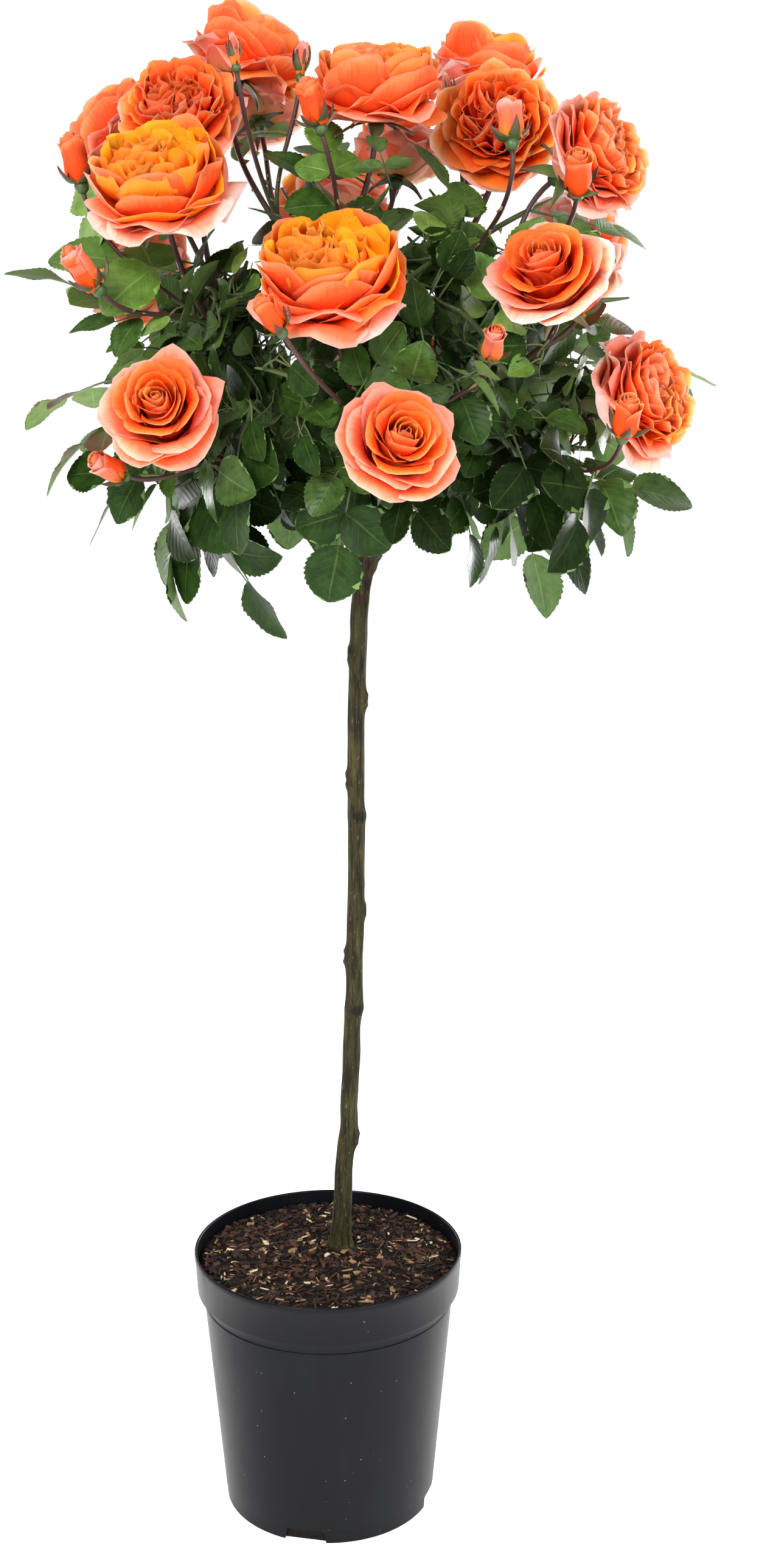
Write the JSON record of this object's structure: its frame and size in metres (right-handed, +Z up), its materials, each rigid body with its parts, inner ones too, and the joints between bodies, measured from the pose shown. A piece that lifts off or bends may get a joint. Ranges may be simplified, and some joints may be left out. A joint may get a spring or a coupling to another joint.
{
  "type": "potted standard rose bush",
  "caption": "Standard rose bush in full bloom: a loose round crown of orange double roses and dark leaves on a bare grafted stem, standing in a filled round nursery pot.",
  "frame": {"origin": "middle of the pot's flat underside, on the ground", "axes": "+Z up along the stem, -Y towards the plant's front, +X to the right seen from the front"},
  "size_m": [0.4824, 0.4148, 1.0359],
  "materials": {
    "pot": "satin charcoal moulded plastic",
    "compost": "coarse bark compost",
    "bark": "matt green-brown bark with scars",
    "foliage": "glossy green leaves with soft orange petals"
  },
  "bodies": {
    "root": {"pot": "pot", "compost": "compost", "trunk": "bark", "left_bough": "bark", "front_bough": "bark", "right_bough": "bark", "back_bough": "bark", "upper_left_bough": "bark", "upper_right_bough": "bark", "high_left_bough": "bark", "high_right_bough": "bark", "rear_left_bough": "bark", "rear_right_bough": "bark", "high_back_bough": "bark", "left_low_foliage": "foliage", "left_high_foliage": "foliage", "top_left_foliage": "foliage", "top_right_foliage": "foliage", "right_high_foliage": "foliage", "right_low_foliage": "foliage", "front_foliage": "foliage", "rear_left_foliage": "foliage", "rear_high_foliage": "foliage", "rear_right_foliage": "foliage", "rear_low_foliage": "foliage"}
  },
  "joints": []
}
